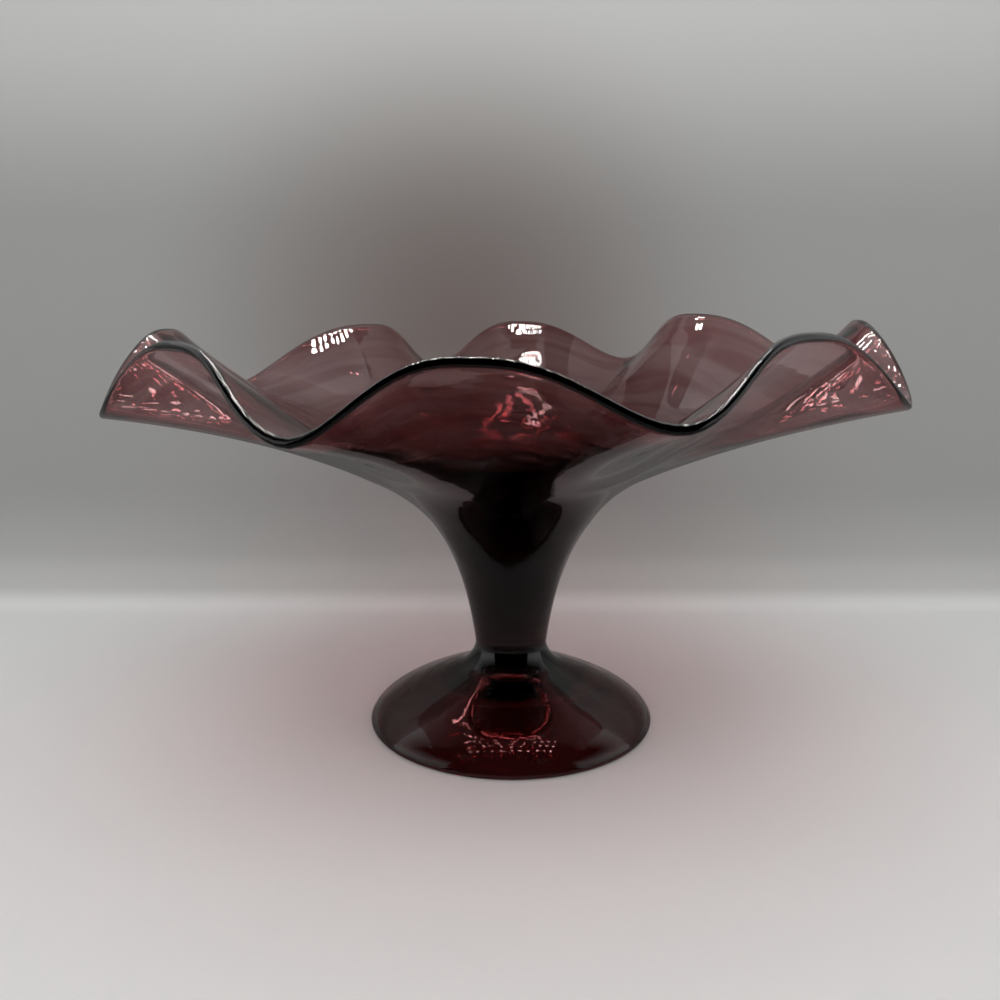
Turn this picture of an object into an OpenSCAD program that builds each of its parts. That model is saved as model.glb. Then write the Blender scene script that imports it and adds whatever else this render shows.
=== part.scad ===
// Footed compote bowl in hand-worked amethyst glass.
// A wide shallow bowl with a ruffled rim stands on a solid flared stem.
// A short collar joins the stem to a hollow conical foot.
// Millimetres, +Z up, origin at the centre of the ring that the foot stands on.
// The ruffle tables start at the crest in front (-Y) and run anticlockwise seen from above.

/* [Foot] */
// Diameter of the foot across its edge
foot_d = 124; // [105:1:150]
// Height of the flat seat on top of the foot
foot_h = 24; // [20:0.5:30]
// Diameter of that seat
foot_seat_d = 49; // [42:1:54]
// Height of the rounded edge of the foot
foot_edge_h = 3.8; // [2.5:0.1:6]
// Width of the flat ring that the foot stands on
rest_ring_w = 3.5; // [2:0.1:6]
// Height of the hollow under the foot
hollow_h = 15; // [10:0.5:17]
// Diameter of the flat roof of that hollow
hollow_roof_d = 26; // [24:1:34]
// Diameter of the ground mark where the working rod was broken off
rod_mark_d = 17; // [10:1:22]
// Depth of that ground mark
rod_mark_depth = 1.2; // [0.6:0.1:2]

/* [Collar] */
// Height of the collar between the foot and the stem
collar_h = 11.5; // [8:0.5:14]
// Diameter of the waist, where the collar meets the stem
waist_d = 31; // [26:0.5:36]

/* [Stem] */
// Height of the solid stem, up to the seat under the bowl
stem_h = 54.5; // [42:0.5:60]
// How far the stem stays slender before it flares
stem_reach = 47; // [38:1:54]
// Lean of the stem's side away from upright just above the waist, in degrees
stem_flare_deg = 7.5; // [3:0.5:12]

/* [Bowl] */
// Height of the bell, from the waist to the shoulder where the ruffles begin
bell_h = 75.5; // [70:0.5:82]
// Outside diameter at that shoulder
bell_d = 119; // [110:1:130]
// How far the shoulder's slope runs back down the bell
bell_reach = 24.5; // [18:0.5:28]
// Thickness of the glass between the stem's seat and the middle of the bowl's floor
floor_t = 18; // [14:0.5:20]
// How far the floor stays level before it rises to the wall
floor_reach = 24; // [18:1:30]
// Thickness of the wall at the shoulder
shoulder_t = 5.5; // [4:0.1:6.5]
// Thickness of the wall at the rim
wall_t = 2.6; // [2:0.1:4]
// Slant length of the wall from the shoulder to the rim
wall_len = 102; // [85:1:115]
// Mean rise of the wall at the rim, in degrees
wall_rise_deg = 26; // [22:0.5:30]
// How much steeper the wall is at the shoulder than at the rim, in degrees
wall_ease_deg = 1; // [0:0.25:4]

/* [Ruffles] */
// Number of ruffles round the rim
ruffles = 8; // [5:1:10]
// How far a ruffle swings the wall up or down from its mean rise, in degrees
ruffle_swing_deg = 8; // [4:0.5:10]
// How late the ruffles grow on the way to the rim, where 1 is a steady growth
ruffle_onset = 0.7; // [0.5:0.05:1.5]
// Breadth of a crest against a valley, where 1 makes them alike
crest_breadth = 1.35; // [1:0.05:1.7]
// How far the bell leans to the left by its shoulder
bell_lean = 2.7; // [0:0.1:4]
// How far the worked rim wanders to the left of the stem's axis
rim_drift = 2; // [0:0.25:4]

/* [Hidden] */

// Fineness of the turned pieces and of the ruffled shell
$fn = 96;
shell_sides = 120;
bell_rings = 6;
wall_rings = 16;
lip_rings = 5;
floor_rings = 7;
stem_rings = 16;
foot_rings = 12;
edge_rings = 6;
collar_rings = 8;
cut_overrun = 1;

// Where each ruffle really stands, as shares of the pitch of the ruffles
crest_turn_shares = [0, 0, -0.02, 0.14, 0.05, -0.22, 0.07, 0.07];
valley_turn_shares = [0, 0.02, -0.03, 0.04, -0.06, -0.06, 0.06, 0.1];
// How high each crest and how low each valley goes, as shares of the swing
crest_rise_shares = [0.65, 1.1, 1.3, 1.4, 1, 0.9, 0.95, 0.85];
valley_dip_shares = [0.75, 0.85, 1.05, 0.6, 0.9, 1.3, 1.2, 1.05];
first_crest_deg = -95;

// Handles of the collar's spread, as shares of its run and height
collar_spread_share = 0.6;
collar_neck_share = 0.35;
// Handles of the foot's back and of its hollow, as shares of its run and height
foot_slope_share = 0.8;
foot_back_share = 0.45;
foot_brink_share = 0.04;
foot_drop_share = 0.3;
hollow_foot_share = 0.12;
hollow_rise_share = 0.45;
hollow_roof_share = 0.5;

// Heights of the seats, worked up from the foot
waist_z = foot_h + collar_h;
bowl_seat_z = waist_z + stem_h;
floor_z = bowl_seat_z + floor_t;

// A point at share t of a curve with ends a and d and handles b and c
function bezier(a, b, c, d, t) =
    pow(1 - t, 3) * a + 3 * pow(1 - t, 2) * t * b + 3 * (1 - t) * t * t * c + pow(t, 3) * d;

// The curve from a to d in n steps
function bezier_run(a, b, c, d, n) = [for (i = [0:n]) bezier(a, b, c, d, i / n)];

// The point at distance len from p, in the direction deg above level
function reach(p, len, deg) = p + len * [cos(deg), sin(deg)];

// Outside of the bell: one curve that the stem and the bowl share
shoulder_deg = wall_rise_deg + wall_ease_deg;
waist_pt = [waist_d / 2, waist_z];
shoulder_pt = [bell_d / 2, waist_z + bell_h];
waist_handle = reach(waist_pt, stem_reach, 90 - stem_flare_deg);
shoulder_handle = reach(shoulder_pt, -bell_reach, shoulder_deg);
function bell(t) = bezier(waist_pt, waist_handle, shoulder_handle, shoulder_pt, t);

// Share of the bell curve at which it passes height z, found by halving
function bell_share(z, low = 0, high = 1, tries = 30) =
    let (mid = (low + high) / 2)
    tries == 0 ? mid
    : bell(mid)[1] < z ? bell_share(z, mid, high, tries - 1)
    : bell_share(z, low, mid, tries - 1);
seat_share = bell_share(bowl_seat_z);

// Crest and valley k, counted round the rim from the front, each as [angle, lift]
pitch_deg = 360 / ruffles;
function pick(table, k) = table[k % len(table)];
function turned(k, share) = first_crest_deg + pitch_deg * (k + share);
function crest(k) =
    let (lap = floor(k / ruffles), home = k - lap * ruffles)
    [turned(k, pick(crest_turn_shares, home)), pick(crest_rise_shares, home)];
function valley(k) =
    [turned(k + 0.5, pick(valley_turn_shares, k)), -pick(valley_dip_shares, k)];

// Lift of the wall at share u of the way from a crest down to a valley
function down(u) = (1 - cos(180 * pow(u, crest_breadth))) / 2;
function between(top, bottom, a) =
    top[1] + (bottom[1] - top[1]) * down((a - top[0]) / (bottom[0] - top[0]));

// Lift of the wall at angle a, found by walking round the crests from the front
function lift(a, k = 0) =
    a > crest(k + 1)[0] ? lift(a, k + 1)
    : a > valley(k)[0] ? between(crest(k + 1), valley(k), a)
    : between(crest(k), valley(k), a);

// Outside of the wall at share s from shoulder to rim, where the lift is w, as [radius, height]
function rise_deg(s, w) =
    wall_rise_deg + wall_ease_deg * (1 - s) + ruffle_swing_deg * w * pow(s, ruffle_onset);
function wall(s, w) = reach(shoulder_pt, wall_len * s, rise_deg(s, w));

// Slope of the wall there, and the point at a share of the way across the glass
slope_step_share = 0.01;
function wall_slope(s, w) =
    let (d = wall(s + slope_step_share, w) - wall(max(s - slope_step_share, 0), w))
    atan2(d[1], d[0]);
function thickness(s) = wall_t + (shoulder_t - wall_t) * pow(1 - s, 3);
function across(s, w, share) = reach(wall(s, w), thickness(s) * share, wall_slope(s, w) + 90);

// The fire-polished lip: half a circle round the edge of the wall, from outside to inside
function lip(w, turn) = reach(across(1, w, 1 / 2), wall_t / 2, wall_slope(1, w) + turn);

// Inside of the floor, level in the middle and rising to the shoulder
floor_end = reach(shoulder_pt, shoulder_t, shoulder_deg + 90);
floor_run = bezier_run(
    [0, floor_z],
    [floor_reach, floor_z],
    reach(floor_end, -bell_reach, shoulder_deg),
    floor_end,
    floor_rings
);

// How far the glass stands to the left at height z of the bell, and at share s of the wall
lean_growth = 1.2;
function bell_shift(z) =
    bell_lean * pow(min(max((z - bowl_seat_z) / (shoulder_pt[1] - bowl_seat_z), 0), 1), lean_growth);
function wall_shift(s) = bell_lean + (rim_drift - bell_lean) * s;

// The rings of the shell along one radial line, each as [shift to the left, radius, height]
function shifted(p) = [bell_shift(p[1]), each p];
function bell_line() = [
    for (i = [0:bell_rings - 1]) shifted(bell(seat_share + (1 - seat_share) * i / bell_rings))
];
function outer_line(w) = [
    for (i = [0:wall_rings]) [wall_shift(i / wall_rings), each wall(i / wall_rings, w)]
];
function lip_line(w) = [
    for (i = [1:lip_rings - 1]) [wall_shift(1), each lip(w, 180 * i / lip_rings - 90)]
];
function inner_line(w) = [
    for (i = [wall_rings:-1:1]) [wall_shift(i / wall_rings), each across(i / wall_rings, w, 1)]
];
function floor_line() = [for (i = [floor_rings:-1:1]) shifted(floor_run[i])];
function shell_line(w) = concat(bell_line(), outer_line(w), lip_line(w), inner_line(w), floor_line());

// The blown bell and its ruffled wall, closed by the floor above and by the stem's seat below
module bowl() {
    angles = [for (j = [0:shell_sides - 1]) first_crest_deg + 360 * j / shell_sides];
    lines = [for (a = angles) shell_line(lift(a))];
    rings = len(lines[0]);
    shell = [
        for (j = [0:shell_sides - 1], p = lines[j])
            [p[1] * cos(angles[j]) - p[0], p[1] * sin(angles[j]), p[2]]
    ];
    seat_middle = len(shell);
    floor_middle = seat_middle + 1;
    sides = [
        for (j = [0:shell_sides - 1])
            let (here = j * rings, next = ((j + 1) % shell_sides) * rings)
            for (i = [0:rings - 2])
                each [
                    [here + i, here + i + 1, next + i],
                    [next + i, here + i + 1, next + i + 1]
                ]
    ];
    caps = [
        for (j = [0:shell_sides - 1])
            let (here = j * rings, next = ((j + 1) % shell_sides) * rings)
            each [
                [seat_middle, here, next],
                [floor_middle, next + rings - 1, here + rings - 1]
            ]
    ];
    color([0.5, 0.27, 0.33])
        polyhedron(
            points = concat(shell, [[0, 0, bowl_seat_z], [-bell_shift(floor_z), 0, floor_z]]),
            faces = concat(sides, caps)
        );
}

// The solid stem: the lower part of the bell curve, turned
module stem() {
    side = [for (i = [0:stem_rings]) bell(seat_share * i / stem_rings)];
    color([0.13, 0.07, 0.09])
        rotate_extrude()
            polygon(concat([[0, waist_z]], side, [[0, side[stem_rings][1]]]));
}

// The collar: a short hot-worked joint that spreads from the waist to the foot's seat
foot_seat_edge = [foot_seat_d / 2, foot_h];
module collar() {
    side = bezier_run(
        foot_seat_edge,
        reach(foot_seat_edge, -collar_spread_share * (foot_seat_d - waist_d) / 2, foot_slope_deg),
        waist_pt - [0, collar_h * collar_neck_share],
        waist_pt,
        collar_rings
    );
    color([0.1, 0.05, 0.07])
        rotate_extrude()
            polygon(concat([[0, foot_h]], side, [[0, waist_z]]));
}

// Run and drop of the foot's back from its seat to its edge, and its slope at the seat
foot_run = (foot_d - foot_seat_d) / 2;
foot_drop = foot_h - foot_edge_h;
foot_slope_deg = -foot_slope_share * atan2(foot_drop, foot_run);

// The foot: a hollow cone with a rounded edge, standing on a flat ring
module foot() {
    edge_r = foot_edge_h / 2;
    edge_mid = [foot_d / 2 - edge_r, edge_r];
    brink_deg = 45;
    back = bezier_run(
        foot_seat_edge,
        reach(foot_seat_edge, foot_run * foot_back_share, foot_slope_deg),
        edge_mid + [-foot_run * foot_brink_share, edge_r + foot_drop * foot_drop_share],
        reach(edge_mid, edge_r, brink_deg),
        foot_rings
    );
    edge = [
        for (i = [1:edge_rings]) reach(edge_mid, edge_r, brink_deg - (brink_deg + 90) * i / edge_rings)
    ];
    ring_in = edge_mid[0] - rest_ring_w;
    roof_edge = [hollow_roof_d / 2, hollow_h];
    under = bezier_run(
        [ring_in, 0],
        [ring_in - foot_run * hollow_foot_share, hollow_h * hollow_rise_share],
        roof_edge + [foot_run * hollow_roof_share, 0],
        roof_edge,
        foot_rings
    );
    color([0.36, 0.08, 0.12])
        difference() {
            rotate_extrude()
                polygon(concat([[0, foot_h]], back, edge, under, [[0, hollow_h]]));
            translate([0, 0, hollow_h - cut_overrun])
                cylinder(d = rod_mark_d, h = rod_mark_depth + cut_overrun);
        }
}

bowl();
stem();
collar();
foot();
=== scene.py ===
import math

import bmesh
import bpy
from mathutils import Matrix, Vector


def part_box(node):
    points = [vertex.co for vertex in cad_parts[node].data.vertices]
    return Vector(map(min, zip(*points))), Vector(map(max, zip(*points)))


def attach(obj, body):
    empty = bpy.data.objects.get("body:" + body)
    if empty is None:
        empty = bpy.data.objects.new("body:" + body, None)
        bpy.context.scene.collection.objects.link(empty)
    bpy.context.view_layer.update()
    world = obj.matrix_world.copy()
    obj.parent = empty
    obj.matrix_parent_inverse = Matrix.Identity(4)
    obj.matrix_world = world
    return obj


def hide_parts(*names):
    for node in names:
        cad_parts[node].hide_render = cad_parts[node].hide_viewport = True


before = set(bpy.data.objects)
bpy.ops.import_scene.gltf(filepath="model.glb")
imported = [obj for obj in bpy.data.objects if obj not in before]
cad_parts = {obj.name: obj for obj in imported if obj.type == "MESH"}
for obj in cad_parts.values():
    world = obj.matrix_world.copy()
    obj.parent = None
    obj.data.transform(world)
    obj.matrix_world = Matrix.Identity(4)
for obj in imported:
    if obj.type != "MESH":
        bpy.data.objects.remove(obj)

bl_info = {
    "name": "Footed Compote Bowl",
    "version": (1, 0, 0),
    "blender": (4, 5, 0),
    "location": "3D View > Sidebar > Compote",
    "description": "Dresses a footed, ruffled compote bowl in hand-worked amethyst glass",
    "category": "Object",
}

BODY = "root"

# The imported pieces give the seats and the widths, and the properties below give the curves between them.
FOOT_LOW, FOOT_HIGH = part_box("foot")
COLLAR_LOW, COLLAR_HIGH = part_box("collar")
STEM_LOW, BOWL_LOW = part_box("stem")[0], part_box("bowl")[0]
FOOT_R = (FOOT_HIGH.x - FOOT_LOW.x) / 2
FOOT_SEAT_R = (COLLAR_HIGH.x - COLLAR_LOW.x) / 2
FOOT_SEAT_Z = COLLAR_LOW.z
WAIST_Z = STEM_LOW.z
BOWL_SEAT_Z = BOWL_LOW.z

# Handles of the curves, as shares of the run or the height that each curve crosses.
COLLAR_SPREAD, COLLAR_NECK = 0.6, 0.35
FOOT_SLOPE, FOOT_BACK, FOOT_BRINK, FOOT_DROP = 0.8, 0.45, 0.04, 0.3
HOLLOW_FOOT, HOLLOW_RISE, HOLLOW_ROOF = 0.12, 0.45, 0.5
# Slope at which the foot's back runs into its rounded edge.
BRINK = math.radians(45)
# Powers by which the wall thins from the shoulder up, and thickens again to its lip.
THINNING, THICKENING = 3, 2

# Steps along each curve of the profiles.
BELL_STEPS, WALL_STEPS, LIP_STEPS, FLOOR_STEPS = 96, 44, 12, 40
BACK_STEPS, EDGE_STEPS, HOLLOW_STEPS, COLLAR_STEPS = 48, 14, 40, 32

# Face attributes that the glass reads, and the angle past which an edge stays crisp.
JOINT = "hot_joint"
GROUND = "ground_face"
CRISP = math.radians(50)
SAME = 1e-6  # points that are no farther apart than this are one
Z_AXIS = Vector((0, 0, 1))

# Hand-worked surface: scale, detail and distortion of the noise behind each effect.
SWELL_NOISE = (24.0, 1.5, 1.4)
RING_NOISE = (1.0, 2.0, 0.3)
CORD_NOISE = (1.0, 3.0, 0.9)
SMUDGE_NOISE = (60.0, 3.0, 0.4)
RINGS_PER_M = 160.0  # tool rings along the profile
RING_FADE_Y = (-0.02, 0.07)  # the rings fade from the first depth to the second
RINGS_LEFT = 0.1  # share of their height behind that
CORD_STRETCH = (1.7, 1.7, 0.3)  # cords crowd more round the bowl and less along it
CORD_FADE = (0.42, 0.68)  # noise at which a cord begins and is full
AXIS_R = 0.001  # least radius, so that nothing is divided by 0 on the axis

# Floor and backdrop.
FLOOR_FRONT_Y, BACKDROP_TOP_Z = -2.0, 2.0
BEND_STEPS = 12
SHEET_ROUGHNESS = 0.75
TONE_PLACES = (0.0, 0.03, 0.22, 0.62, 1.0)  # shares of the tone height
DIM_FADE_Z = (0.09, 0.16)  # below, the glass's reflections show the sheet with painted shade, and above, the painted shadow lies on it
FRONT_FADE_Y = (-0.2, 0.0)  # the floor's share in the glass, a painted shade in its reflections, goes from front to back

# Light.
DOME_TOP = (0.3, 0.7)  # steepness at which the glass begins to show the dome's top, and shows it whole
DOME_BACK = (0.05, 0.5)  # the same for how far back a direction points
LAMP_COLOUR = (1, 0.97, 0.93, 1)
LAMP_SIDES = 12
DARK_OVER_Y, DARK_OVER_GAP = 0.27, 0.008  # how far back the dark card over the lamps lies, and its height above them
BLACK = (0, 0, 0, 1)
WHITE = (1, 1, 1, 1)

# Camera.
SENSOR_MM = 36
CLIP_START = 0.01


# ---- Sizes and colours that a user would change ----


class CompoteFoot(bpy.types.PropertyGroup):
    """Sizes of the hollow conical foot and of the collar on it"""

    edge: bpy.props.FloatProperty(
        name="Edge", description="Height of the foot's rounded edge", default=0.0038, unit="LENGTH"
    )
    ring: bpy.props.FloatProperty(
        name="Resting ring", description="Width of the flat ring that the foot stands on",
        default=0.0035, unit="LENGTH",
    )
    hollow: bpy.props.FloatProperty(
        name="Hollow", description="Height of the hollow under the foot",
        default=0.015, unit="LENGTH",
    )
    roof: bpy.props.FloatProperty(
        name="Hollow roof", description="Diameter of the flat roof of that hollow",
        default=0.026, unit="LENGTH",
    )
    rod_mark: bpy.props.FloatProperty(
        name="Rod mark", description="Diameter of the ground mark of the working rod",
        default=0.017, unit="LENGTH",
    )
    rod_mark_depth: bpy.props.FloatProperty(
        name="Rod mark depth", description="Depth of that ground mark",
        default=0.0012, unit="LENGTH",
    )
    waist: bpy.props.FloatProperty(
        name="Waist", description="Diameter of the waist between collar and stem",
        default=0.031, unit="LENGTH",
    )


class CompoteBowl(bpy.types.PropertyGroup):
    """Sizes of the bell, the wall and the ruffles"""

    bell: bpy.props.FloatProperty(
        name="Bell height", description="Height from the waist to the shoulder",
        default=0.0755, unit="LENGTH",
    )
    shoulder: bpy.props.FloatProperty(
        name="Shoulder", description="Outside diameter at the shoulder",
        default=0.119, unit="LENGTH",
    )
    stem_reach: bpy.props.FloatProperty(
        name="Stem reach", description="How far the stem stays slender",
        default=0.047, unit="LENGTH",
    )
    stem_flare: bpy.props.FloatProperty(
        name="Stem flare", description="Lean of the stem's side above the waist",
        default=math.radians(7.5), unit="ROTATION",
    )
    bell_reach: bpy.props.FloatProperty(
        name="Shoulder reach", description="How far the shoulder's slope runs down the bell",
        default=0.0245, unit="LENGTH",
    )
    floor: bpy.props.FloatProperty(
        name="Floor", description="Glass between the seat and the middle of the floor",
        default=0.018, unit="LENGTH",
    )
    floor_reach: bpy.props.FloatProperty(
        name="Floor reach", description="How far the floor stays level",
        default=0.024, unit="LENGTH",
    )
    shoulder_wall: bpy.props.FloatProperty(
        name="Shoulder wall", description="Thickness of the wall at the shoulder",
        default=0.0055, unit="LENGTH",
    )
    rim_wall: bpy.props.FloatProperty(
        name="Rim wall", description="Thickness of the wall at the rim",
        default=0.0026, unit="LENGTH",
    )
    lip: bpy.props.FloatProperty(
        name="Lip", description="How much the fire-polished lip thickens the wall",
        default=0.0008, unit="LENGTH",
    )
    lip_reach: bpy.props.FloatProperty(
        name="Lip reach", description="Share of the wall over which it thickens", default=0.16
    )
    wall: bpy.props.FloatProperty(
        name="Wall length", description="Slant length from the shoulder to the rim",
        default=0.102, unit="LENGTH",
    )
    rise: bpy.props.FloatProperty(
        name="Wall rise", description="Mean rise of the wall at the rim",
        default=math.radians(26), unit="ROTATION",
    )
    ease: bpy.props.FloatProperty(
        name="Wall ease", description="How much steeper the wall is at the shoulder",
        default=math.radians(1), unit="ROTATION",
    )
    swing: bpy.props.FloatProperty(
        name="Ruffle swing", description="How far a ruffle swings the wall",
        default=math.radians(8), unit="ROTATION",
    )
    onset: bpy.props.FloatProperty(
        name="Ruffle onset", description="How late the ruffles grow, where 1 is steady",
        default=0.7,
    )
    breadth: bpy.props.FloatProperty(
        name="Crest breadth", description="Breadth of a crest against a valley", default=1.35
    )
    first_crest: bpy.props.FloatProperty(
        name="First crest", description="Angle of the crest in front",
        default=math.radians(-95), unit="ROTATION",
    )
    lean: bpy.props.FloatProperty(
        name="Bell lean", description="How far the bell leans to the left by its shoulder",
        default=0.0027, unit="LENGTH",
    )
    lean_growth: bpy.props.FloatProperty(
        name="Lean growth", description="How late the lean grows with height, where 1 is steady",
        default=1.2,
    )
    drift: bpy.props.FloatProperty(
        name="Rim drift", description="How far the rim wanders to the left",
        default=0.002, unit="LENGTH",
    )
    crest_turns: bpy.props.FloatVectorProperty(
        name="Crest turns", description="Where each crest stands, as shares of the pitch", size=8,
        default=(0, 0, -0.02, 0.14, 0.05, -0.22, 0.07, 0.07),
    )
    valley_turns: bpy.props.FloatVectorProperty(
        name="Valley turns", description="Where each valley lies, as shares of the pitch", size=8,
        default=(0, 0.02, -0.03, 0.04, -0.06, -0.06, 0.06, 0.1),
    )
    crest_rises: bpy.props.FloatVectorProperty(
        name="Crest rises", description="How high each crest goes, as shares of the swing", size=8,
        default=(0.65, 1.1, 1.3, 1.4, 1, 0.9, 0.95, 0.85),
    )
    valley_dips: bpy.props.FloatVectorProperty(
        name="Valley dips", description="How low each valley goes, as shares of the swing", size=8,
        default=(0.75, 0.85, 1.05, 0.6, 0.9, 1.3, 1.2, 1.05),
    )


class CompoteGlass(bpy.types.PropertyGroup):
    """Colour and finish of the amethyst glass"""

    through: bpy.props.FloatVectorProperty(
        name="Colour", description="Colour that the glass lets through",
        subtype="COLOR", size=3, default=(0.62, 0.2, 0.215),
    )
    strength: bpy.props.FloatProperty(
        name="Strength", description="How fast the glass darkens with depth, per metre",
        default=360.0,
    )
    bend: bpy.props.FloatProperty(
        name="Index", description="How strongly the glass bends light", default=1.5
    )
    swell: bpy.props.FloatProperty(
        name="Swell", description="Height of the slow swells that hand work leaves",
        default=0.0003, unit="LENGTH",
    )
    rings: bpy.props.FloatProperty(
        name="Tool rings", description="Height of the faint rings that the tools leave",
        default=0.00003, unit="LENGTH",
    )
    dull: bpy.props.FloatProperty(
        name="Dullness", description="Greatest roughness of the handled surface", default=0.04
    )
    cords: bpy.props.FloatProperty(
        name="Cords", description="Strength of the denser cords drawn round in the glass",
        default=1.0,
    )
    cord_colour: bpy.props.FloatVectorProperty(
        name="Cord colour", description="Colour that such a cord lets through",
        subtype="COLOR", size=3, default=(0.8, 0.64, 0.66),
    )
    ground: bpy.props.FloatProperty(
        name="Ground", description="Roughness that grinding gives the rod mark", default=0.45
    )
    worn: bpy.props.FloatProperty(
        name="Worn", description="Roughness that wear gives the resting ring", default=0.15
    )
    joint_gap: bpy.props.FloatProperty(
        name="Joint gap", description="Room kept between two pieces at a hot joint",
        default=0.00002, unit="LENGTH",
    )
    sides: bpy.props.IntProperty(
        name="Sides", description="Steps of a full turn", default=240
    )


class CompoteStage(bpy.types.PropertyGroup):
    """Floor, backdrop, light and camera"""

    floor_colour: bpy.props.FloatVectorProperty(
        name="Floor", description="Colour of the floor",
        subtype="COLOR", size=3, default=(0.705, 0.715, 0.708),
    )
    # The backdrop's colours are painted light and shade by height: lighter at its foot and top and darker
    # behind the bowl, as the floor's bounce and the lamps overhead would light it.
    wall_low: bpy.props.FloatVectorProperty(
        name="Backdrop foot", description="Colour of the backdrop where it meets the floor",
        subtype="COLOR", size=3, default=(0.47, 0.47, 0.46),
    )
    wall_colour: bpy.props.FloatVectorProperty(
        name="Backdrop", description="Colour of the backdrop behind the bowl",
        subtype="COLOR", size=3, default=(0.35, 0.352, 0.345),
    )
    wall_high: bpy.props.FloatVectorProperty(
        name="Backdrop top", description="Colour of the backdrop's top",
        subtype="COLOR", size=3, default=(0.55, 0.55, 0.54),
    )
    # Painted shadow: a soft reddish darkening of the backdrop above the bowl, in place of the shadow that
    # the bowl casts.
    painted_shadow_colour: bpy.props.FloatVectorProperty(
        name="Haze",
        description="Colour that the backdrop keeps in the soft shadow above the bowl",
        subtype="COLOR", size=3, default=(0.58, 0.49, 0.47),
    )
    painted_shadow_place: bpy.props.FloatVectorProperty(
        name="Haze place", description="Middle of that shadow",
        size=3, subtype="TRANSLATION", default=(-0.032, 0.175, 0.17),
    )
    painted_shadow_reach: bpy.props.FloatProperty(
        name="Haze reach", description="How far that shadow spreads", default=0.2, unit="LENGTH"
    )
    # Painted shade: the glass's reflections show the floor darker than it is lit, by these shares, most in
    # front.
    mirrored: bpy.props.FloatProperty(
        name="Mirrored", description="Share of the floor's brightness that the glass mirrors",
        default=0.6,
    )
    mirrored_front: bpy.props.FloatProperty(
        name="Mirrored front", description="The same share for the floor in front", default=0.2
    )
    wall_place: bpy.props.FloatProperty(
        name="Backdrop place", description="How far the backdrop stands behind the stem",
        default=0.175, unit="LENGTH",
    )
    wall_seen: bpy.props.FloatProperty(
        name="Backdrop height", description="Height up to which the glass shows the backdrop",
        default=0.352, unit="LENGTH",
    )
    bend: bpy.props.FloatProperty(
        name="Bend", description="Radius of the bend between floor and backdrop",
        default=0.03, unit="LENGTH",
    )
    ramp_height: bpy.props.FloatProperty(
        name="Tone height", description="Height at which the backdrop reaches its top colour",
        default=0.35, unit="LENGTH",
    )
    half_width: bpy.props.FloatProperty(
        name="Half width", description="Half the width of the floor", default=0.9, unit="LENGTH"
    )
    dome: bpy.props.FloatProperty(
        name="Dome", description="Strength of the soft dome of light", default=0.8
    )
    dome_seen: bpy.props.FloatProperty(
        name="Dome top in the glass",
        description="Strength of the dome's top and back as the glass shows it",
        default=1.0,
    )
    lamp: bpy.props.FloatProperty(
        name="Lamps", description="Power of each of the wide lamps overhead",
        default=0.8, unit="POWER",
    )
    low_lamp: bpy.props.FloatProperty(
        name="Low lamp", description="Power of the low lamp in front", default=0.25, unit="POWER"
    )
    beads: bpy.props.FloatProperty(
        name="Beads", description="Glow of the rows of small lamps that glint in the glass",
        default=45.0,
    )
    bead_left: bpy.props.FloatVectorProperty(
        name="Bead left",
        description="Ends of the runs of small lamps over the back left, as X and Y in turn",
        size=24,
        default=(
            -0.155, 0.121, -0.105, 0.127, -0.09, 0.134, -0.06, 0.148, -0.045, 0.151, 0.0, 0.162,
            -0.15, 0.111, -0.1, 0.117, -0.085, 0.124, -0.055, 0.138, -0.04, 0.141, 0.005, 0.152,
        ),
    )
    bead_right: bpy.props.FloatVectorProperty(
        name="Bead right",
        description="Ends of the runs of small lamps over the back right, as X and Y in turn",
        size=8,
        default=(-0.005, 0.117, 0.045, 0.063, -0.015, 0.105, 0.035, 0.051),
    )
    bead_middle: bpy.props.FloatVectorProperty(
        name="Bead middle",
        description="Ends of the rows of small lamps over the middle, as X and Y in turn",
        size=20,
        default=(
            -0.13, 0.09, -0.07, 0.09, -0.13, 0.05, 0.03, 0.05, -0.13, 0.01, 0.13, 0.01,
            -0.13, -0.03, 0.13, -0.03, -0.13, -0.07, 0.13, -0.07,
        ),
    )
    wide_share: bpy.props.FloatProperty(
        name="Wide share",
        description="Pitch of the rows over the middle as a share of the others",
        default=1.55,
    )
    fine_rows: bpy.props.FloatVectorProperty(
        name="Fine rows",
        description="Ends of the rows of finer, lower lamps at the back, as X and Y in turn",
        size=8,
        default=(0.006, 0.1435, 0.032, 0.1445, 0.008, 0.146, 0.034, 0.147),
    )
    fine_height: bpy.props.FloatProperty(
        name="Fine height", description="Height of the finer lamps", default=0.25, unit="LENGTH"
    )
    fine_share: bpy.props.FloatProperty(
        name="Fine share",
        description="Size and pitch of the finer lamps as a share of the others",
        default=0.2,
    )
    bead_height: bpy.props.FloatProperty(
        name="Bead height", description="Height of the small lamps", default=0.37, unit="LENGTH"
    )
    bead_pitch: bpy.props.FloatProperty(
        name="Bead pitch", description="Distance between two small lamps",
        default=0.017, unit="LENGTH",
    )
    bead_r: bpy.props.FloatProperty(
        name="Bead radius", description="Radius of a small lamp", default=0.0048, unit="LENGTH"
    )
    camera_place: bpy.props.FloatVectorProperty(
        name="Camera", description="Place of the camera",
        size=3, subtype="TRANSLATION", default=(-0.00484, -0.405, 0.1809),
    )
    camera_tilt: bpy.props.FloatProperty(
        name="Tilt", description="How far the camera looks down", default=0.201, unit="ROTATION"
    )
    lens: bpy.props.FloatProperty(
        name="Lens", description="Focal length on a 36 mm frame", default=34.704, unit="CAMERA"
    )


# ---- Mesh helpers ----


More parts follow.
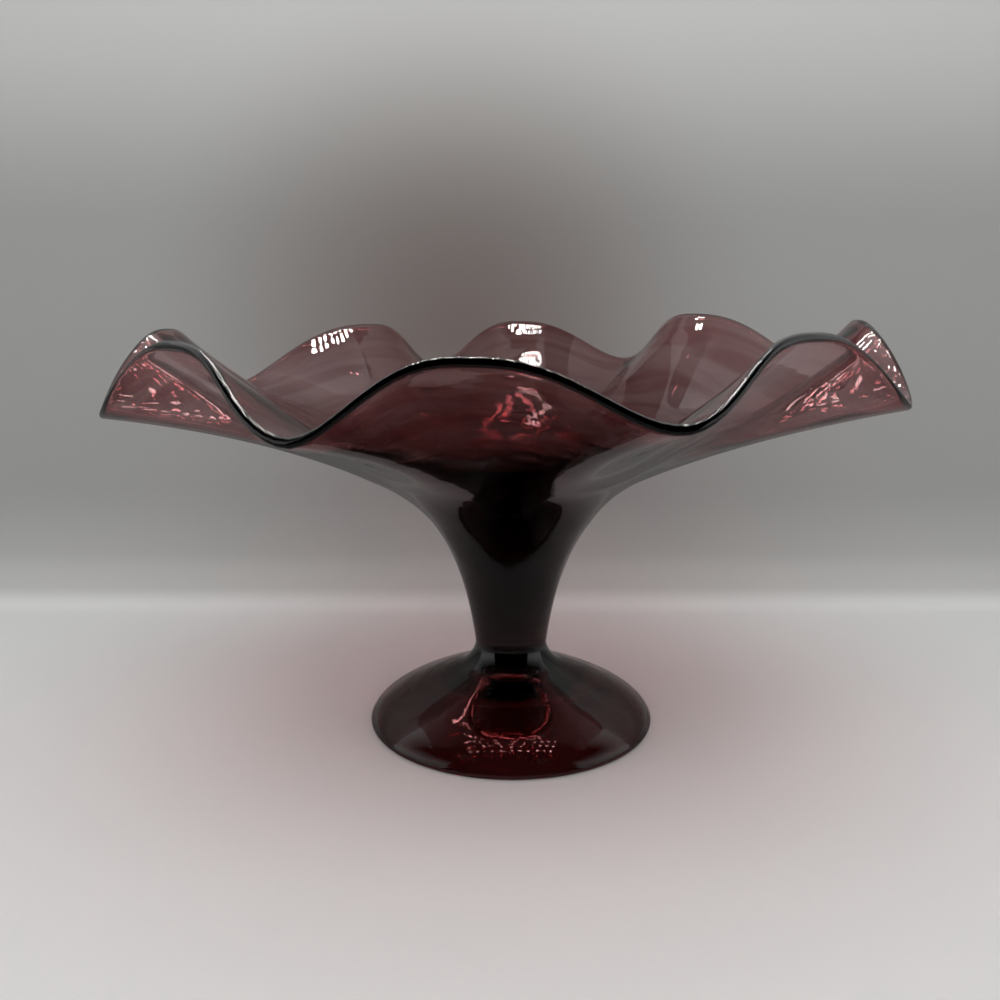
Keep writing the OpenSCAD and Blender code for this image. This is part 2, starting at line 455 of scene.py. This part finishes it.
def curve_points(a, b, c, d, steps):
    """Points in equal steps of a cubic curve from a to d with handles b and c."""
    points = []
    for i in range(steps + 1):
        t = i / steps
        points.append((1 - t) ** 3 * a + 3 * (1 - t) ** 2 * t * b + 3 * (1 - t) * t * t * c + t**3 * d)
    return points


def reach(point, length, angle):
    """The point at that length from a point of a profile, at an angle above level."""
    return point + length * Vector((math.cos(angle), math.sin(angle)))


def chain(bm, points):
    """Lays a wire through the (radius, height) points of a profile, in the plane of X and Z."""
    verts = [bm.verts.new((p[0], 0, p[1])) for p in points]
    return verts + [bm.edges.new(pair) for pair in zip(verts, verts[1:])]


def spun(points, sides):
    """A closed bmesh: the profile, which starts and ends on the axis, spun a full turn."""
    bm = bmesh.new()
    profile = chain(bm, points)
    bmesh.ops.spin(
        bm, geom=profile, cent=(0, 0, 0), axis=Z_AXIS,
        angle=math.tau, steps=sides, use_merge=True, use_duplicate=False,
    )
    bmesh.ops.remove_doubles(bm, verts=bm.verts, dist=SAME)
    return bm


def level_at(face, height):
    """Whether a face lies flat at that height."""
    return all(abs(v.co.z - height) < SAME for v in face.verts)


def mark_joints(bm, heights):
    """Marks the flat faces at the hot joints, and keeps their edges crisp."""
    joint = bm.faces.layers.float.new(JOINT)
    for face in bm.faces:
        if any(level_at(face, height) for height in heights):
            face[joint] = 1.0
    for edge in bm.edges:
        sides = {face[joint] for face in edge.link_faces}
        edge.smooth = len(sides) < 2 and edge.calc_face_angle(0.0) < CRISP


def mark_ground(bm, height, amount):
    """Marks the flat faces at a height as ground or worn by that amount."""
    worn = bm.faces.layers.float.get(GROUND) or bm.faces.layers.float.new(GROUND)
    for face in bm.faces:
        if level_at(face, height):
            face[worn] = amount


def linked(name, data):
    """A new object with that data, in the scene."""
    thing = bpy.data.objects.new(name, data)
    bpy.context.scene.collection.objects.link(thing)
    return thing


def finished(name, bm, material, node):
    """Makes the piece from its bmesh, with its normals outwards, and puts it in the node's place."""
    bmesh.ops.recalc_face_normals(bm, faces=bm.faces)
    for face in bm.faces:
        face.smooth = True
    piece = linked(name, new_mesh(name, bm, material))
    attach(piece, BODY)
    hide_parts(node)


def staged(name, bm, material):
    """A stage object made from its bmesh."""
    thing = linked(name, new_mesh(name, bm, material))
    return thing


def new_mesh(name, bm, material):
    """A mesh made from a bmesh, which is freed."""
    mesh = bpy.data.meshes.new(name)
    bm.to_mesh(mesh)
    bm.free()
    mesh.materials.append(material)
    return mesh


# ---- Curves of the glass ----


def bell_points(bowl, foot):
    """Outside of the bell from the waist to the shoulder, shared by the stem and the bowl."""
    waist = Vector((foot.waist / 2, WAIST_Z))
    shoulder = Vector((bowl.shoulder / 2, WAIST_Z + bowl.bell))
    return curve_points(
        waist,
        reach(waist, bowl.stem_reach, math.pi / 2 - bowl.stem_flare),
        reach(shoulder, -bowl.bell_reach, bowl.rise + bowl.ease),
        shoulder,
        BELL_STEPS,
    )


def split_at(points, z, gap, clear=4):
    """The points below and above height z, each run ending half a gap short of it on the curve.

    Points that are nearer to z than some gaps are left out.
    """
    below = [p for p in points if p.y < z - clear * gap]
    above = [p for p in points if p.y > z + clear * gap]
    step = above[0] - below[-1]
    cut = below[-1] + step * ((z - below[-1].y) / step.y)
    half = step * (gap / 2 / step.y)
    return below + [cut - half], [cut + half] + above


def foot_slope(foot):
    """Slope of the foot's back at its seat."""
    return -FOOT_SLOPE * math.atan2(FOOT_SEAT_Z - foot.edge, FOOT_R - FOOT_SEAT_R)


def foot_back(foot):
    """Outside of the foot from its seat down to the edge, and on round the edge to the resting ring."""
    seat = Vector((FOOT_SEAT_R, FOOT_SEAT_Z))
    edge_r = foot.edge / 2
    middle = Vector((FOOT_R - edge_r, edge_r))
    run, drop = FOOT_R - FOOT_SEAT_R, FOOT_SEAT_Z - foot.edge
    back = curve_points(
        seat,
        reach(seat, run * FOOT_BACK, foot_slope(foot)),
        middle + Vector((-run * FOOT_BRINK, edge_r + drop * FOOT_DROP)),
        reach(middle, edge_r, BRINK),
        BACK_STEPS,
    )
    turn = BRINK + math.pi / 2
    edge = [reach(middle, edge_r, BRINK - turn * i / EDGE_STEPS) for i in range(1, EDGE_STEPS + 1)]
    return back + edge


def foot_hollow(foot):
    """Underside of the foot from the resting ring up to the hollow's roof and the rod mark."""
    run = FOOT_R - FOOT_SEAT_R
    ring_in = FOOT_R - foot.edge / 2 - foot.ring
    roof = Vector((foot.roof / 2, foot.hollow))
    under = curve_points(
        Vector((ring_in, 0)),
        Vector((ring_in - run * HOLLOW_FOOT, foot.hollow * HOLLOW_RISE)),
        roof + Vector((run * HOLLOW_ROOF, 0)),
        roof,
        HOLLOW_STEPS,
    )
    mark_r, mark_z = foot.rod_mark / 2, foot.hollow + foot.rod_mark_depth
    return [*under, Vector((mark_r, foot.hollow)), Vector((mark_r, mark_z)), Vector((0, mark_z))]


def wall_points(bowl, shoulder):
    """The wall before its ruffles: up its outside from the shoulder, round the lip and down its inside."""

    def outer(share):
        return reach(shoulder, bowl.wall * share, bowl.rise + bowl.ease * (1 - share))

    def thick(share):
        lip = bowl.lip * max(0.0, 1 - (1 - share) / bowl.lip_reach) ** THICKENING
        return bowl.rim_wall + (bowl.shoulder_wall - bowl.rim_wall) * (1 - share) ** THINNING + lip

    shares = [i / WALL_STEPS for i in range(1, WALL_STEPS + 1)]
    outside = [outer(share) for share in shares]
    inside = [reach(outer(share), thick(share), bowl.rise + math.pi / 2) for share in reversed(shares)]
    middle = (outside[-1] + inside[0]) / 2
    lip = [
        reach(middle, thick(1) / 2, bowl.rise - math.pi / 2 + math.pi * i / LIP_STEPS)
        for i in range(1, LIP_STEPS)
    ]
    return [*outside, *lip, *inside]


def floor_points(bowl, shoulder):
    """Inside of the bell from the shoulder down to the middle of the floor."""
    slope = bowl.rise + bowl.ease
    end = reach(shoulder, bowl.shoulder_wall, slope + math.pi / 2)
    floor_z = BOWL_SEAT_Z + bowl.floor
    return curve_points(
        end,
        reach(end, -bowl.bell_reach, slope),
        Vector((bowl.floor_reach, floor_z)),
        Vector((0, floor_z)),
        FLOOR_STEPS,
    )


def lifts(bowl):
    """A function from an angle to the lift of the wall there, as a share of the swing."""
    count = len(bowl.crest_turns)
    pitch = math.tau / count
    stops = []
    for k in range(count):
        stops.append((bowl.first_crest + pitch * (k + bowl.crest_turns[k]), bowl.crest_rises[k]))
        stops.append((bowl.first_crest + pitch * (k + 0.5 + bowl.valley_turns[k]), -bowl.valley_dips[k]))
    stops.append((stops[0][0] + math.tau, stops[0][1]))

    def lift(angle):
        angle = stops[0][0] + (angle - stops[0][0]) % math.tau
        k = max(i for i, stop in enumerate(stops[:-1]) if stop[0] <= angle)
        top, bottom = (stops[k], stops[k + 1]) if k % 2 == 0 else (stops[k + 1], stops[k])
        away = min(max((angle - top[0]) / (bottom[0] - top[0]), 0.0), 1.0)
        fall = (1 - math.cos(math.pi * away**bowl.breadth)) / 2
        return top[1] + (bottom[1] - top[1]) * fall

    return lift


def ruffle(bm, bowl, shoulder):
    """Leans the bell, and swings the wall about the shoulder by the lift at each angle."""
    lift = lifts(bowl)
    along = reach(Vector((0, 0)), 1, bowl.rise)
    for vert in bm.verts:
        arm = Vector((math.hypot(vert.co.x, vert.co.y), vert.co.z)) - shoulder
        share = arm.dot(along) / bowl.wall
        if share <= 0 or arm.x <= 0:
            height = (vert.co.z - BOWL_SEAT_Z) / (shoulder.y - BOWL_SEAT_Z)
            vert.co.x -= bowl.lean * min(max(height, 0.0), 1.0) ** bowl.lean_growth
            continue
        angle = math.atan2(vert.co.y, vert.co.x)
        arm.rotate(Matrix.Rotation(bowl.swing * lift(angle) * share**bowl.onset, 2))
        radius = shoulder.x + arm.x
        vert.co = (
            radius * math.cos(angle) - bowl.lean - (bowl.drift - bowl.lean) * min(share, 1.0),
            radius * math.sin(angle),
            shoulder.y + arm.y,
        )


# ---- Node helpers ----


def feed(tree, socket, value):
    """Sets a socket to a value, or joins it to the output that is given in place of one."""
    if isinstance(value, bpy.types.NodeSocket):
        tree.links.new(value, socket)
    else:
        socket.default_value = value


def add_node(tree, kind, inputs=None, **settings):
    """A new node of the tree, with its settings made and then its inputs fed, by name or number."""
    node = tree.nodes.new(kind)
    for setting, value in settings.items():
        setattr(node, setting, value)
    for key, value in (inputs or {}).items():
        feed(tree, node.inputs[key], value)
    return node


def maths(tree, operation, a, b=0.0, clamped=False):
    """Output of a math node."""
    node = add_node(tree, "ShaderNodeMath", {0: a, 1: b}, operation=operation, use_clamp=clamped)
    return node.outputs["Value"]


def noise(tree, vector, scale, detail, distortion):
    """Output of a noise texture."""
    inputs = {"Vector": vector, "Scale": scale, "Detail": detail, "Distortion": distortion}
    return add_node(tree, "ShaderNodeTexNoise", inputs).outputs["Fac"]


def faded(tree, value, start, end, low=0.0, high=1.0, easing="SMOOTHSTEP"):
    """Output that goes from low to high while the value goes from start to end."""
    inputs = {"Value": value, "From Min": start, "From Max": end, "To Min": low, "To Max": high}
    return add_node(tree, "ShaderNodeMapRange", inputs, interpolation_type=easing).outputs["Result"]


def mixed(tree, factor, a, b, **settings):
    """Output of a mix node, of plain numbers where no settings are given."""
    return add_node(tree, "ShaderNodeMix", {"Factor": factor, "A": a, "B": b}, **settings).outputs["Result"]


def axes(tree, vector):
    """Outputs for the X, Y and Z of a vector."""
    outputs = add_node(tree, "ShaderNodeSeparateXYZ", {"Vector": vector}).outputs
    return outputs["X"], outputs["Y"], outputs["Z"]


def new_material(name, inputs):
    """A new material, with the inputs of its Principled BSDF set."""
    material = bpy.data.materials.new(name)
    material.use_nodes = True
    for key, value in inputs.items():
        principled(material).inputs[key].default_value = value
    return material


def principled(material):
    """The Principled BSDF of a material."""
    return material.node_tree.nodes["Principled BSDF"]


# ---- Materials of the glass ----


def worked_surface():
    """Shader group for hand-worked glass: height of its swells and rings, dullness and cords."""
    if "worked_surface" in bpy.data.node_groups:
        return bpy.data.node_groups["worked_surface"]
    group = bpy.data.node_groups.new("worked_surface", "ShaderNodeTree")
    face = group.interface
    face.new_socket("Vector", in_out="INPUT", socket_type="NodeSocketVector")
    for socket in ("Swell", "Rings", "Dull", "Cords"):
        face.new_socket(socket, in_out="INPUT", socket_type="NodeSocketFloat")
    face.new_socket("Cord colour", in_out="INPUT", socket_type="NodeSocketColor")
    for socket in ("Height", "Roughness"):
        face.new_socket(socket, in_out="OUTPUT", socket_type="NodeSocketFloat")
    face.new_socket("Colour", in_out="OUTPUT", socket_type="NodeSocketColor")
    given = group.nodes.new("NodeGroupInput").outputs
    vector = given["Vector"]
    x, y, z = axes(group, vector)

    # The place as a turn round the axis and a way along the profile, so that rings and cords run round.
    square = maths(group, "ADD", maths(group, "POWER", x, 2.0), maths(group, "POWER", y, 2.0))
    radius = maths(group, "MAXIMUM", maths(group, "SQRT", square), AXIS_R)
    turned = add_node(group, "ShaderNodeCombineXYZ", {
        "X": maths(group, "DIVIDE", x, radius),
        "Y": maths(group, "DIVIDE", y, radius),
        "Z": maths(group, "MULTIPLY", maths(group, "ADD", radius, z), RINGS_PER_M),
    }).outputs["Vector"]

    swell = maths(group, "MULTIPLY", noise(group, vector, *SWELL_NOISE), given["Swell"])
    ring_height = maths(group, "MULTIPLY", given["Rings"], faded(group, y, *RING_FADE_Y, 1.0, RINGS_LEFT))
    rings = maths(group, "MULTIPLY", noise(group, turned, *RING_NOISE), ring_height)

    inputs = {0: turned, 1: CORD_STRETCH}
    drawn_out = add_node(group, "ShaderNodeVectorMath", inputs, operation="MULTIPLY").outputs["Vector"]
    cord = faded(group, noise(group, drawn_out, *CORD_NOISE), *CORD_FADE)
    cord = maths(group, "MULTIPLY", cord, given["Cords"])

    put = group.nodes.new("NodeGroupOutput").inputs
    smudge = noise(group, vector, *SMUDGE_NOISE)
    feed(group, put["Height"], maths(group, "ADD", swell, rings))
    feed(group, put["Roughness"], maths(group, "MULTIPLY", smudge, given["Dull"]))
    feed(group, put["Colour"], mixed(group, cord, WHITE, given["Cord colour"], data_type="RGBA"))
    return group


def glass(name, look):
    """Amethyst glass that darkens with depth, clear at its hot joints."""
    material = new_material(name, {"IOR": look.bend, "Transmission Weight": 1.0})
    tree = material.node_tree
    worked = add_node(tree, "ShaderNodeGroup", node_tree=worked_surface())
    values = {
        "Vector": add_node(tree, "ShaderNodeTexCoord").outputs["Object"],
        "Swell": look.swell,
        "Rings": look.rings,
        "Dull": look.dull,
        "Cords": look.cords,
        "Cord colour": (*look.cord_colour, 1),
    }
    for key, value in values.items():
        feed(tree, worked.inputs[key], value)
    joint = add_node(tree, "ShaderNodeAttribute", attribute_name=JOINT).outputs["Fac"]
    ground = add_node(tree, "ShaderNodeAttribute", attribute_name=GROUND).outputs["Fac"]
    bump = add_node(tree, "ShaderNodeBump", {"Distance": 1.0, "Height": worked.outputs["Height"]})
    shader = principled(material)
    feed(tree, shader.inputs["Base Color"], worked.outputs["Colour"])
    feed(tree, shader.inputs["Roughness"], maths(tree, "ADD", worked.outputs["Roughness"], ground))
    feed(tree, shader.inputs["Normal"], bump.outputs["Normal"])
    feed(tree, shader.inputs["Alpha"], maths(tree, "SUBTRACT", 1.0, joint))
    depth = {"Color": (*look.through, 1), "Density": look.strength}
    inside = add_node(tree, "ShaderNodeVolumeAbsorption", depth).outputs["Volume"]
    feed(tree, tree.nodes["Material Output"].inputs["Volume"], inside)
    return material


# ---- Operators of the pieces ----


def chosen(context):
    """The sizes of the bowl and of the foot, and the look of the glass."""
    scene = context.scene
    return scene.compote_bowl, scene.compote_foot, scene.compote_glass


class COMPOTE_OT_foot(bpy.types.Operator):
    """Turns the hollow foot with its rounded edge, resting ring and ground rod mark"""

    bl_idname = "compote.foot"
    bl_label = "Foot"

    def execute(self, context):
        _, foot, look = chosen(context)
        outside = foot_back(foot)
        outside[0] = outside[0] - Vector((0, look.joint_gap / 2))
        bm = spun([Vector((0, outside[0].y)), *outside, *foot_hollow(foot)], look.sides)
        mark_joints(bm, (outside[0].y,))
        mark_ground(bm, foot.hollow + foot.rod_mark_depth, look.ground)
        mark_ground(bm, 0.0, look.worn)
        finished("foot_glass", bm, glass("foot_amethyst", look), "foot")
        return {"FINISHED"}


class COMPOTE_OT_collar(bpy.types.Operator):
    """Turns the hot-worked collar between the foot's seat and the waist"""

    bl_idname = "compote.collar"
    bl_label = "Collar"

    def execute(self, context):
        _, foot, look = chosen(context)
        seat = Vector((FOOT_SEAT_R, FOOT_SEAT_Z))
        waist = Vector((foot.waist / 2, WAIST_Z))
        side = curve_points(
            seat,
            reach(seat, -COLLAR_SPREAD * (seat.x - waist.x), foot_slope(foot)),
            waist - Vector((0, COLLAR_NECK * (waist.y - seat.y))),
            waist,
            COLLAR_STEPS,
        )
        half = Vector((0, look.joint_gap / 2))
        side[0], side[-1] = side[0] + half, side[-1] - half
        bm = spun([Vector((0, side[0].y)), *side, Vector((0, side[-1].y))], look.sides)
        mark_joints(bm, (side[0].y, side[-1].y))
        finished("collar_glass", bm, glass("collar_amethyst", look), "collar")
        return {"FINISHED"}


class COMPOTE_OT_stem(bpy.types.Operator):
    """Turns the solid stem, the lower part of the bell curve"""

    bl_idname = "compote.stem"
    bl_label = "Stem"

    def execute(self, context):
        bowl, foot, look = chosen(context)
        side, _ = split_at(bell_points(bowl, foot), BOWL_SEAT_Z, look.joint_gap)
        side[0] = side[0] + (side[1] - side[0]) * (look.joint_gap / 2 / (side[1].y - side[0].y))
        bm = spun([Vector((0, side[0].y)), *side, Vector((0, side[-1].y))], look.sides)
        mark_joints(bm, (side[0].y, side[-1].y))
        finished("stem_glass", bm, glass("stem_amethyst", look), "stem")
        return {"FINISHED"}


class COMPOTE_OT_bowl(bpy.types.Operator):
    """Spins the bell with its floor and wall, and works the ruffles into the wall"""

    bl_idname = "compote.bowl"
    bl_label = "Bowl"

    def execute(self, context):
        bowl, foot, look = chosen(context)
        _, bell = split_at(bell_points(bowl, foot), BOWL_SEAT_Z, look.joint_gap)
        seat, shoulder = Vector((0, bell[0].y)), bell[-1]
        bm = spun([seat, *bell, *wall_points(bowl, shoulder), *floor_points(bowl, shoulder)], look.sides)
        mark_joints(bm, (seat.y,))
        ruffle(bm, bowl, shoulder)
        finished("bowl_glass", bm, glass("bowl_amethyst", look), "bowl")
        return {"FINISHED"}


# ---- Stage ----


class COMPOTE_OT_stage(bpy.types.Operator):
    """Lays the floor and backdrop, and sets the light and the camera"""

    bl_idname = "compote.stage"
    bl_label = "Stage"

    def execute(self, context):
        stage = context.scene.compote_stage
        sweep(stage)
        dome(stage)
        lamps(stage)
        camera(stage)
        context.scene.view_settings.view_transform = "Standard"
        return {"FINISHED"}


def sheet(points, half_width):
    """A stage sheet through the (y, z) points, facing up and forward."""
    bm = bmesh.new()
    verts = [bm.verts.new((-half_width, y, z)) for y, z in points]
    edges = [bm.edges.new(pair) for pair in zip(verts, verts[1:])]
    grown = bmesh.ops.extrude_edge_only(bm, edges=edges)["geom"]
    far = [item for item in grown if isinstance(item, bmesh.types.BMVert)]
    bmesh.ops.translate(bm, vec=(2 * half_width, 0, 0), verts=far)
    bmesh.ops.recalc_face_normals(bm, faces=bm.faces)
    bm.faces.ensure_lookup_table()
    if bm.faces[0].normal.z - bm.faces[-1].normal.y < 0:
        bmesh.ops.reverse_faces(bm, faces=bm.faces)
    for face in bm.faces:
        face.smooth = True
    return bm


def sweep(stage):
    """One sheet that runs along the floor and bends up into the backdrop, and one above the picture."""
    back, bend = stage.wall_place, stage.bend
    points = [(FLOOR_FRONT_Y, 0.0)]
    for i in range(BEND_STEPS + 1):
        turn = math.pi / 2 * i / BEND_STEPS
        points.append((back - bend + bend * math.sin(turn), bend - bend * math.cos(turn)))
    material = sheet_material(stage)
    staged("sweep", sheet([*points, (back, stage.wall_seen)], stage.half_width), material)
    upper = sheet([(back, stage.wall_seen), (back, BACKDROP_TOP_Z)], stage.half_width)
    upper = staged("sweep_top", upper, material)
    upper.visible_glossy = upper.visible_transmission = False


def sheet_material(stage):
    """Grey with painted light and shade by height, a painted shadow above the bowl and painted shade on the
    floor in the glass's reflections, and clear from behind.
    """
    material = new_material("sweep_sheet", {"Roughness": SHEET_ROUGHNESS, "Specular IOR Level": 0})
    tree = material.node_tree
    place = add_node(tree, "ShaderNodeTexCoord").outputs["Object"]
    _, y, z = axes(tree, place)

    # Painted light and shade: the sheet's tones by height, lighter at the backdrop's foot and top and
    # darker behind the bowl.
    rise = faded(tree, z, 0.0, stage.ramp_height, easing="LINEAR")
    tones = add_node(tree, "ShaderNodeValToRGB", {"Fac": rise})
    tones.color_ramp.interpolation = "EASE"
    stops = tones.color_ramp.elements
    while len(stops) < len(TONE_PLACES):
        stops.new(1.0)
    colours = (stage.floor_colour, stage.wall_low, stage.wall_colour, stage.wall_colour, stage.wall_high)
    for stop, position, colour in zip(stops, TONE_PLACES, colours):
        stop.position = position
        stop.color = (*colour, 1)

    # Painted shadow: round a point above the bowl, the backdrop darkens towards the shadow colour, only
    # above the lowest heights.
    inputs = {0: place, 1: stage.painted_shadow_place}
    away = add_node(tree, "ShaderNodeVectorMath", inputs, operation="DISTANCE").outputs["Value"]
    near = faded(tree, away, 0.0, stage.painted_shadow_reach, 1.0, 0.0)
    above = faded(tree, z, *DIM_FADE_Z)
    multiply = {"data_type": "RGBA", "blend_type": "MULTIPLY"}
    painted_shadow_share = maths(tree, "MULTIPLY", near, above)
    painted_shadow_tones = mixed(tree, painted_shadow_share, tones.outputs["Color"], (*stage.painted_shadow_colour, 1), **multiply)
    # Painted shade: glossy rays see the floor and the backdrop's foot darkened by the floor's share.
    mirrored = add_node(tree, "ShaderNodeLightPath").outputs["Is Glossy Ray"]
    low = maths(tree, "SUBTRACT", mirrored, above, clamped=True)
    share = faded(tree, y, *FRONT_FADE_Y, stage.mirrored_front, stage.mirrored, easing="LINEAR")
    shader = principled(material)
    feed(tree, shader.inputs["Base Color"], mixed(tree, low, painted_shadow_tones, share, **multiply))

    one_sided = {
        "Fac": add_node(tree, "ShaderNodeNewGeometry").outputs["Backfacing"],
        1: shader.outputs["BSDF"],
        2: add_node(tree, "ShaderNodeBsdfTransparent").outputs["BSDF"],
    }
    shown = add_node(tree, "ShaderNodeMixShader", one_sided).outputs["Shader"]
    feed(tree, tree.nodes["Material Output"].inputs["Surface"], shown)
    return material


def dome(stage):
    """A soft dome of light, whose top and back the glass shows at a strength of their own."""
    world = bpy.data.worlds.new("studio")
    bpy.context.scene.world = world
    world.use_nodes = True
    tree = world.node_tree
    _, y, z = axes(tree, add_node(tree, "ShaderNodeTexCoord").outputs["Generated"])
    back = faded(tree, y, *DOME_BACK, 0.0, stage.dome_seen, easing="LINEAR")
    seen = faded(tree, z, *DOME_TOP, stage.dome, back, easing="LINEAR")
    lit = maths(tree, "MINIMUM", add_node(tree, "ShaderNodeLightPath").outputs["Diffuse Depth"], 1.0)
    light = tree.nodes["Background"].inputs
    feed(tree, light["Color"], WHITE)
    feed(tree, light["Strength"], mixed(tree, lit, seen, stage.dome))


def lamps(stage):
    """Three wide lamps that light the scene, the small lamps that the glass shows, and black cards that
    paint shade in its reflections.
    """
    wide_lamp("lamp_overhead", power=stage.lamp, place=(0, 0.04, 0.6), size=(0.6, 0.3))
    wide_lamp("lamp_front", power=stage.lamp, place=(0, -0.35, 0.6), size=(0.6, 0.3))
    wide_lamp("lamp_low", power=stage.low_lamp, place=(0, -0.62, 0.03), size=(0.3, 0.05), tilt=math.pi / 2)

    beads = bmesh.new()
    pitch, radius, height = stage.bead_pitch, stage.bead_r, stage.bead_height
    lamp_runs(beads, stage.bead_left, height, pitch, radius)
    lamp_runs(beads, stage.bead_right, height, pitch, radius)
    lamp_runs(beads, stage.bead_middle, height, pitch * stage.wide_share, radius)
    fine = stage.fine_share
    lamp_runs(beads, stage.fine_rows, stage.fine_height, pitch * fine, radius * fine)
    rows = staged("lamp_rows", beads, plain_glow("lamp_glow", stage.beads))
    rows.visible_camera = rows.visible_diffuse = rows.visible_shadow = False

    # Black cards that paint shade in the glass's reflections: one over the small lamps, one beside the
    # finer ones and one in front of the bowl.
    black = plain_glow("black_card", 0.0)
    over = (0, DARK_OVER_Y, height + DARK_OVER_GAP)
    dark_over_lamps = black_card("dark_card_over_lamps", black, place=over, half_size=(0.045, 0.185))
    dark_beside_lamps = black_card("dark_card_beside_lamps", black, place=(0.042, 0.125, 0.21), half_size=(0.04, 0.035), about="Y")
    card = black_card("dark_card", black, place=(0, -0.56, 0.35), half_size=(0.7, 0.7), about="X")
    dark_over_lamps.visible_shadow = dark_beside_lamps.visible_shadow = False
    card.visible_transmission = False


def lamp_runs(bm, ends, height, pitch, radius):
    """Lays small lamps at an even pitch along straight runs, given by the X and Y of both ends of each."""
    for i in range(0, len(ends), 4):
        x0, y0, x1, y1 = ends[i : i + 4]
        a, b = Vector((x0, y0, height)), Vector((x1, y1, height))
        count = round((b - a).length / pitch)
        for step in range(count + 1):
            matrix = Matrix.Translation(a.lerp(b, step / count))
            bmesh.ops.create_circle(
                bm, cap_ends=True, segments=LAMP_SIDES, radius=radius, matrix=matrix
            )


def black_card(name, material, place, half_size, about=None):
    """A black rectangle, level or turned upright about an axis, that only the glass sees: painted shade in
    its reflections.
    """
    matrix = Matrix.Translation(place)
    if about:
        matrix = matrix @ Matrix.Rotation(math.pi / 2, 4, about)
    matrix = matrix @ Matrix.Diagonal((*half_size, 1, 1))
    bm = bmesh.new()
    bmesh.ops.create_grid(bm, x_segments=1, y_segments=1, size=1, matrix=matrix)
    card = staged(name, bm, material)
    card.visible_camera = card.visible_diffuse = False
    return card


def wide_lamp(name, power, place, size, tilt=0.0):
    """A rectangular lamp that lights the scene, facing down unless tilted, and isn't seen in the glass."""
    lamp = bpy.data.lights.new(name, "AREA")
    lamp.shape = "RECTANGLE"
    lamp.size, lamp.size_y = size
    lamp.energy = power
    holder = linked(name, lamp)
    holder.location = place
    holder.rotation_euler = (tilt, 0, 0)
    holder.visible_camera = holder.visible_glossy = holder.visible_transmission = False


def plain_glow(name, strength):
    """A plain material that only glows, or is black at no strength."""
    return new_material(name, {
        "Base Color": BLACK,
        "Specular IOR Level": 0,
        "Emission Color": LAMP_COLOUR,
        "Emission Strength": strength,
    })


def camera(stage):
    """The camera at the photograph's place and angle."""
    lens = bpy.data.cameras.new("view")
    lens.sensor_width = SENSOR_MM
    lens.lens = stage.lens
    lens.clip_start = CLIP_START
    holder = linked("view", lens)
    holder.location = stage.camera_place
    holder.rotation_euler = (math.pi / 2 - stage.camera_tilt, 0, 0)
    bpy.context.scene.camera = holder


# ---- Panel, registration and run ----


class COMPOTE_PT_panel(bpy.types.Panel):
    """Lists the steps that dress the compote"""

    bl_idname = "COMPOTE_PT_panel"
    bl_label = "Compote"
    bl_space_type = "VIEW_3D"
    bl_region_type = "UI"
    bl_category = "Compote"

    def draw(self, context):
        for step in STEPS:
            self.layout.operator(step.bl_idname)


STEPS = (COMPOTE_OT_stage, COMPOTE_OT_foot, COMPOTE_OT_collar, COMPOTE_OT_stem, COMPOTE_OT_bowl)
GROUPS = {
    "compote_foot": CompoteFoot,
    "compote_bowl": CompoteBowl,
    "compote_glass": CompoteGlass,
    "compote_stage": CompoteStage,
}


def register():
    for cls in (*GROUPS.values(), *STEPS, COMPOTE_PT_panel):
        bpy.utils.register_class(cls)
    for name, group in GROUPS.items():
        setattr(bpy.types.Scene, name, bpy.props.PointerProperty(type=group))


def unregister():
    for name in GROUPS:
        delattr(bpy.types.Scene, name)
    for cls in (COMPOTE_PT_panel, *reversed(STEPS), *reversed(GROUPS.values())):
        bpy.utils.unregister_class(cls)


def main():
    """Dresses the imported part."""
    register()
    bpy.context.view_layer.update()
    bpy.ops.compote.stage()
    bpy.ops.compote.foot()
    bpy.ops.compote.collar()
    bpy.ops.compote.stem()
    bpy.ops.compote.bowl()


if __name__ == "__main__":
    main()
